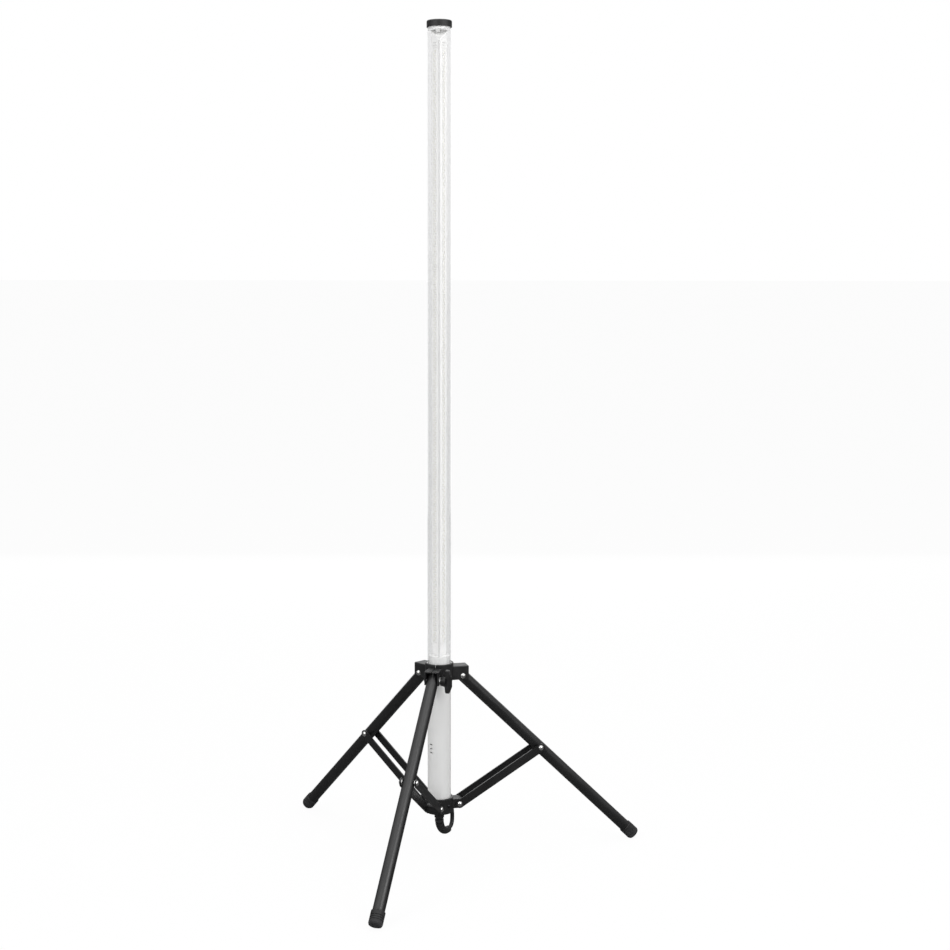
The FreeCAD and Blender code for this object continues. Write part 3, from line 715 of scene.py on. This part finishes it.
def make_plug():
    """A moulded two-pin plug: flattened sides with finger grips and a ribbed, tapered neck."""
    clear_selection()
    bpy.ops.mesh.primitive_cylinder_add(vertices=64, radius=PLUG_RADIUS, depth=PLUG_HEIGHT,
                                        location=(HANK_MIDDLE, 0, PLUG_SHOULDER - PLUG_HEIGHT / 2))
    body = start("plug_moulding")
    settle(body)
    editing()
    for side in (-1, 1):
        bpy.ops.mesh.select_all(action="SELECT")
        bpy.ops.mesh.bisect(plane_co=(HANK_MIDDLE, side * PLUG_DEPTH, PLUG_SHOULDER),
                            plane_no=(0, side, 0), use_fill=True, clear_outer=True)
    bpy.ops.mesh.select_all(action="SELECT")
    bpy.ops.mesh.remove_doubles(threshold=0.00005)
    bpy.ops.mesh.normals_make_consistent(inside=False)
    # a shallow grip panel on each flat side, and a step round the pin face
    pick(body, "faces", lambda face: abs(face.normal.y) > 0.99 and face.calc_area() > 0.0003)
    bpy.ops.mesh.inset(thickness=0.0032, depth=0)
    bpy.ops.mesh.inset(thickness=0.0007, depth=-0.0010)
    pick(body, "faces", lambda face: face.normal.z < -0.99)
    bpy.ops.mesh.inset(thickness=0.0020, depth=0)
    bpy.ops.mesh.inset(thickness=0.0004, depth=-0.0006)
    edited()
    modify(body, "BEVEL", width=0.0011, segments=3, limit_method="ANGLE",
           angle_limit=math.radians(40))
    ribs = []
    for side in (-1, 1):
        for row in range(GRIPS):
            clear_selection()
            bpy.ops.mesh.primitive_cube_add(
                size=1, location=(HANK_MIDDLE, side * (PLUG_DEPTH - 0.0008),
                                  PLUG_SHOULDER - GRIP_TOP - row * GRIP_PITCH))
            rib = start(f"grip_{side}_{row}")
            rib.scale = (0.0175 - 0.0012 * abs(row - GRIPS // 2), 0.0022, 0.0015)
            settle(rib)
            modify(rib, "BEVEL", width=0.0006, segments=2)
            ribs.append(rib)
    neck_outline = [(0.0, 0.0), (0.0092, 0.0), (0.0092, 0.0024), (0.0086, 0.0030)]
    for ring in range(NECK_RINGS):
        base, radius = 0.0030 + ring * NECK_PITCH, 0.0088 - ring * 0.00055
        neck_outline += [(radius - 0.0011, base + 0.0002), (radius - 0.0011, base + 0.0011),
                         (radius, base + 0.0014), (radius - 0.0001, base + 0.0031)]
    neck_outline += [(0.0066, 0.0172), (0.0062, 0.0180), (0.0048, 0.0182), (0.0, 0.0182)]
    neck = lathed("plug_neck", neck_outline, (HANK_MIDDLE, 0, PLUG_SHOULDER - 0.0006), 32)
    plug = joined("plug_moulding", [body, neck, *ribs])
    turn_about_pole(plug, HANK_AZIMUTH)
    return finished(plug, "pole",
                    matt_rubber("plug_rubber", settings().finish.rubber), replaces=["plug_body"])


TIE_INNER, TIE_OUTER = 0.0273, 0.0516   # distances of a tie's two sides from the pole's axis
TIE_DEPTH, TIE_WIDTH = 0.0224, 0.0120
TAPE = 0.0012                           # thickness
# How the lapped end lifts: beyond each distance from the pole's axis, by that much more.
LAP_LIFTS = ((0.0480, 0.0003), (0.0500, 0.0008), (0.0512, 0.0016))


def make_ties():
    """Hook tape round the hank at each saddle: a rounded loop with its end lapped and lifted."""
    made = []
    tape = hook_tape("hook_tape", (0.020, 0.020, 0.022))
    # the lower tie laps at one side of the hank and the upper at the other
    for index, side in enumerate((-1, 1)):
        height = HANK_HEIGHT + side * TIE_OFFSET
        clear_selection()
        bpy.ops.mesh.primitive_cube_add(size=1, location=((TIE_INNER + TIE_OUTER) / 2, 0, height))
        loop = start(f"hook_tie_{index + 1}")
        loop.scale = (TIE_OUTER - TIE_INNER, TIE_DEPTH, TIE_WIDTH)
        settle(loop)
        editing()
        pick(loop, "faces", lambda face: abs(face.normal.z) > 0.9)
        bpy.ops.mesh.delete(type="FACE")
        bpy.ops.mesh.select_mode(type="EDGE")
        pick(loop, "edges", lambda edge: abs(edge.verts[0].co.z - edge.verts[1].co.z) > 0.01)
        bpy.ops.mesh.bevel(offset=0.0042, segments=6, affect="EDGES")
        bpy.ops.mesh.select_all(action="SELECT")
        bpy.ops.mesh.subdivide(number_cuts=2)
        edited()
        # the lapped end: a short strip over the far side, lifting at its tip
        clear_selection()
        bpy.ops.mesh.primitive_grid_add(x_subdivisions=9, y_subdivisions=4, size=1)
        lap = start("lap")
        lap.scale = (0.0150, 0.0116, 1)
        settle(lap)
        lap.data.transform(Matrix.Rotation(math.radians(90), 4, "X"))
        lap.data.transform(Matrix.Translation((0.0445, side * 0.0119, height)))
        editing("VERT")
        for reach, rise in LAP_LIFTS:
            pick(lap, "verts", lambda vert: vert.co.x > reach)
            bpy.ops.transform.translate(value=(0, side * rise, 0))
        edited()
        tie = joined(f"hook_tie_{index + 1}", [loop, lap])
        modify(tie, "SOLIDIFY", thickness=TAPE, offset=0 if index else -0.2)
        modify(tie, "BEVEL", width=0.00025, segments=2, limit_method="ANGLE",
               angle_limit=math.radians(50))
        turn_about_pole(tie, HANK_AZIMUTH)
        finished(tie, "pole", tape)
        made.append(tie)
    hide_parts("hank_ties")
    return made


# ---- strain relief boot -------------------------------------------------------------------------

BOOT_TOP = 0.0905                       # height of its collar
BOOT_STRAIGHT, BOOT_BEND, BOOT_TURN = 0.0115, 0.036, math.radians(100)
BOOT_LENGTH = BOOT_STRAIGHT + BOOT_BEND * BOOT_TURN
BOOT_NOSE = 0.0074                      # radius
# Relief slots, fading towards the nose: the depth of each, and its length and its rib's.
RELIEF = ((0.0034, 0.0034, 0.0052), (0.0026, 0.0028, 0.0052), (0.0016, 0.0022, 0.0052),
          (0.0008, 0.0018, 0.0052), (0.0004, 0.0014, 0.0050))


def boot_outline():
    """Radius and height of the boot before it is bent, from its collar down."""
    place = 0.0094
    outline = [(0.0, 0.0), (0.0102, 0.0), (0.0106, -0.0008), (0.0104, -0.0088), (0.0098, -place)]
    for depth, slot, rib in RELIEF:
        wide = 0.0099 - 0.0022 * place / BOOT_LENGTH
        outline += [(wide - depth, -place - 0.0004), (wide - depth, -place - slot),
                    (wide, -place - slot - 0.0004), (wide - 0.0001, -place - slot - rib)]
        place += slot + rib
    last = outline[-1][0]
    for step in range(1, 8):
        outline.append((last + (BOOT_NOSE - last) * step / 7,
                        -place - (BOOT_LENGTH - 0.0012 - place) * step / 7))
    return outline + [(0.0068, -BOOT_LENGTH), (0.0046, -BOOT_LENGTH), (0.0, -BOOT_LENGTH + 0.0004)]


class TUBE_OT_boot(bpy.types.Operator):
    """Ribbed rubber boot under the lower hub, bent outwards and up"""
    bl_idname = "light_tube.boot"
    bl_label = "Strain relief boot"

    def execute(self, context):
        boot = lathed("relief_boot", boot_outline(), steps=40)
        for vert in boot.data.vertices:
            out, side, along = vert.co.x, vert.co.y, -vert.co.z
            if along <= BOOT_STRAIGHT:
                vert.co = (out, side, BOOT_TOP - along)
            else:
                angle = (along - BOOT_STRAIGHT) / BOOT_BEND
                reach = BOOT_BEND - out
                vert.co = (BOOT_BEND - reach * math.cos(angle), side,
                           BOOT_TOP - BOOT_STRAIGHT - reach * math.sin(angle))
        boot.data.update()
        turn_about_pole(boot, BOOT_AZIMUTH)
        finished(boot, "pole",
                 matt_rubber("boot_rubber", settings().finish.rubber),
                 replaces=["strain_relief_boot"], angle=40)
        return {"FINISHED"}


# ---- emitters -----------------------------------------------------------------------------------

BOARD_FACE = 0.0110                     # distance of a board's face from the pole's axis
COLUMN_START, COLUMN_ENDS = 0.008, 0.012    # above the board's end, and what both ends leave free


class TUBE_OT_emitters(bpy.types.Operator):
    """Two staggered columns of light-emitting packages on each of the three boards"""
    bl_idname = "light_tube.emitters"
    bl_label = "Emitters"

    def execute(self, context):
        e, colours = settings().emitters, settings().finish
        low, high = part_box("light_boards")
        count = int((high.z - low.z - COLUMN_ENDS) / e.pitch)
        shell = powder_white("emitter_shell", (0.86, 0.86, 0.84))
        gel = emitter_window("emitter_gel", colours.window)
        for board in range(3):
            columns = []
            for side in (-1, 1):
                clear_selection()
                stagger = e.pitch / 2 if side > 0 else 0
                bpy.ops.mesh.primitive_cube_add(
                    size=1, location=(BOARD_FACE + e.depth / 2, side * e.column,
                                      low.z + COLUMN_START + stagger))
                package = start("emitter")
                package.scale = (e.depth, e.width, e.height)
                settle(package)
                editing()
                pick(package, "faces", lambda f: f.normal.x > 0.9)
                bpy.ops.mesh.inset(thickness=0.00035, depth=0)
                bpy.ops.mesh.inset(thickness=0.00012, depth=-0.00022)
                edited()
                package.data.materials.append(shell)
                package.data.materials.append(gel)
                window = max(package.data.polygons, key=lambda f: (f.normal.x, f.area))
                for polygon in package.data.polygons:
                    polygon.material_index = int(polygon.index == window.index)
                modify(package, "ARRAY", count=count, use_relative_offset=False,
                       use_constant_offset=True, constant_offset_displace=(0, 0, e.pitch))
                columns.append(package)
            row = joined(f"emitters_{board + 1}", columns)
            turn_about_pole(row, CORE_CORNER + 60 + 120 * board)
            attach(row, "pole")
        return {"FINISHED"}


# ---- light core's upper end ---------------------------------------------------------------------

# Distance from the pole's axis at which the mitre starts and ends, and how far it falls.
MITRE_BACK, MITRE_FRONT, MITRE_FALL = -0.0086, 0.020, 0.025
PLATE_SUNK, PLATE_UNDERSIDE = 0.0006, 0.0030    # below the mitred end


class TUBE_OT_core_end(bpy.types.Operator):
    """White plate with a sunk panel that closes the light core's mitred upper end"""
    bl_idname = "light_tube.core_end"
    bl_label = "Core end"

    def execute(self, context):
        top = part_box("light_core")[1].z
        upwards = Vector((MITRE_FALL, 0, MITRE_FRONT - MITRE_BACK)).normalized()
        clear_selection()
        bpy.ops.mesh.primitive_cylinder_add(vertices=3, radius=0.0170, depth=0.080,
                                            location=(0, 0, top - 0.025))
        plate = start("core_end_plate")
        settle(plate)
        turn_about_pole(plate, -90)
        editing()
        for below, side in ((PLATE_SUNK, "clear_outer"), (PLATE_UNDERSIDE, "clear_inner")):
            bpy.ops.mesh.select_all(action="SELECT")
            bpy.ops.mesh.bisect(plane_co=Vector((MITRE_BACK, 0, top)) - upwards * below,
                                plane_no=upwards, use_fill=True, **{side: True})
        bpy.ops.mesh.select_all(action="SELECT")
        bpy.ops.mesh.normals_make_consistent(inside=False)
        pick(plate, "faces", lambda face: face.normal.dot(upwards) > 0.99)
        bpy.ops.mesh.inset(thickness=0.0014, depth=0)
        bpy.ops.mesh.inset(thickness=0.0004, depth=-0.0006)
        edited()
        modify(plate, "BEVEL", width=0.0002, segments=2, limit_method="ANGLE",
               angle_limit=math.radians(25))
        turn_about_pole(plate, CORE_CORNER)
        # the plate's white is a little darker than the core's: a painted shade
        finished(plate, "pole",
                 powder_white("core_end_white", (0.85, 0.85, 0.845)))
        return {"FINISHED"}


# ---- small hardware -----------------------------------------------------------------------------

SCREW_AZIMUTHS = (90.0, 210.0, 330.0)
SCREW_SEAT = 0.0301                     # distance of a head's flat side from the pole's axis
SCREW_HEAD = [(0.0, 0.0021), (0.0012, 0.0020), (0.0024, 0.0016), (0.0032, 0.0009),
              (0.0036, 0.0002), (0.0036, 0.0), (0.0019, 0.0), (0.0019, -0.0060), (0.0, -0.0060)]
RECESS = (0.0036, 0.0007, 0.0020)       # one of the cross's two bars


class TUBE_OT_screws(bpy.types.Operator):
    """Cross-recessed pan heads in place of the lower hub's plain ones"""
    bl_idname = "light_tube.screws"
    bl_label = "Hub screws"

    def execute(self, context):
        oxide = bright_zinc("screw_black_oxide", (0.045, 0.045, 0.048), 0.34)
        low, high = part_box("hub_screws")
        height = (low.z + high.z) / 2
        made = []
        for azimuth in SCREW_AZIMUTHS:
            head = lathed("head", SCREW_HEAD, steps=24)
            for quarter in (0, 90):
                clear_selection()
                bpy.ops.mesh.primitive_cube_add(size=1, location=(0, 0, SCREW_HEAD[0][1]))
                blade = start("blade")
                blade.scale = RECESS
                settle(blade)
                blade.data.transform(Matrix.Rotation(math.radians(quarter + 20), 4, "Z"))
                modify(head, "BOOLEAN", operation="DIFFERENCE", solver="EXACT", object=blade)
                bpy.data.objects.remove(blade)
            head.data.transform(Matrix.Rotation(math.radians(90), 4, "Y"))
            head.data.transform(Matrix.Translation((SCREW_SEAT, 0, height)))
            turn_about_pole(head, azimuth)
            made.append(head)
        screws = joined("hub_screw_heads", made)
        finished(screws, "pole", oxide, replaces=["hub_screws"])
        return {"FINISHED"}


# ---- finishes on the carried-over nodes ---------------------------------------------------------

class TUBE_OT_finishes(bpy.types.Operator):
    """Gives every carried-over node its finish"""
    bl_idname = "light_tube.finishes"
    bl_label = "Finishes"

    def execute(self, context):
        c = settings().finish
        white = white_moulding("white_moulding", c.white)
        end_white = white_moulding("end_plug_white", (0.90, 0.90, 0.895), 0.35)
        moulding = textured_moulding("hub_moulding", c.moulding, 0.50)
        zinc = bright_zinc("bright_zinc", c.zinc)
        shared = {
            "clear_tube": clear_wall("clear_tube_wall"), "lower_sleeve": white,
            "top_cap": textured_moulding("cap_moulding", shade(c.moulding, 1.3), 0.55, 900,
                                         0.00022),
            "cap_screws": zinc, "cap_seal": matt_rubber("grey_seal", (0.2, 0.2, 0.2)),
            # the core's corner edges carry a painted shade line
            "light_core": powder_white("core_white", (0.94, 0.94, 0.935), corners=0.0172),
            "light_boards": board_mask("board_mask", (0.94, 0.94, 0.93),
                                       settings().emitters.pitch / 2),
            "top_end_plug": end_white, "bottom_end_plug": end_white,
            "driver_tray": white, "driver_cover": white,
            "driver_board": plain_sheath("driver_board_green", (0.03, 0.16, 0.08), 0.35),
            "core_wires": plain_sheath("wire_sheath", (0.4, 0.04, 0.04)),
            "lower_hub": moulding, "lower_pivot_rivets": zinc, "gland_body": moulding,
            "gland_nut": moulding, "inner_lead": lead_jacket("inner_jacket", c.rubber),
            "tie_saddles": moulding,
            "plug_pins": bright_zinc("plug_pin_plate", (0.80, 0.74, 0.60), 0.18),
            "upper_hub": moulding, "hub_liner": white, "upper_pivot_rivets": zinc,
            "clamp_bolt": zinc, "clamp_washer": zinc,
            "wing_knob": textured_moulding("knob_moulding", shade(c.moulding, 1.1), 0.38, 2200,
                                           0.00006),
            "knob_insert": bright_zinc("bush_brass", (0.72, 0.60, 0.34), 0.3),
        }
        foot = matt_rubber("foot_rubber", c.rubber, dust_height=0.024)
        for leg, azimuth in LEGS.items():
            shared["leg_tube_" + leg] = satin_coat("leg_coat_" + leg, c.coat, azimuth)
            shared["leg_top_plug_" + leg] = moulding
            shared["rubber_foot_" + leg] = foot
            shared["brace_bars_" + leg] = satin_coat("brace_coat_" + leg, c.coat, azimuth)
            shared["middle_rivets_" + leg] = zinc
        for name, material in shared.items():
            materials = NODES[name].data.materials
            if len(materials) == 0:
                materials.append(material)
            for index in range(len(materials)):
                materials[index] = material
        return {"FINISHED"}


# ---- panel and registration ---------------------------------------------------------------------

MAKERS = (TUBE_OT_stage, TUBE_OT_lead, TUBE_OT_boot, TUBE_OT_emitters, TUBE_OT_core_end,
          TUBE_OT_screws, TUBE_OT_finishes)


class TUBE_PT_panel(bpy.types.Panel):
    """Settings and steps of the light tube"""
    bl_idname = "TUBE_PT_panel"
    bl_label = "Light tube"
    bl_space_type = "VIEW_3D"
    bl_region_type = "UI"
    bl_category = "Light tube"

    def draw(self, context):
        for group in ("lead", "emitters", "finish", "stage"):
            box = self.layout.box()
            box.label(text=group.capitalize())
            values = getattr(context.scene.light_tube, group)
            for name in values.__annotations__:
                box.prop(values, name)
        for maker in MAKERS:
            self.layout.operator(maker.bl_idname)


CLASSES = (LeadSettings, EmitterSettings, FinishSettings, StageSettings, TubeSettings, *MAKERS,
           TUBE_PT_panel)


def register():
    for made in CLASSES:
        bpy.utils.register_class(made)
    bpy.types.Scene.light_tube = bpy.props.PointerProperty(type=TubeSettings)


def unregister():
    del bpy.types.Scene.light_tube
    for made in reversed(CLASSES):
        bpy.utils.unregister_class(made)


def main():
    register()
    bpy.ops.light_tube.stage()
    bpy.ops.light_tube.lead()
    bpy.ops.light_tube.boot()
    bpy.ops.light_tube.emitters()
    bpy.ops.light_tube.core_end()
    bpy.ops.light_tube.screws()
    bpy.ops.light_tube.finishes()


if __name__ == "__main__":
    main()
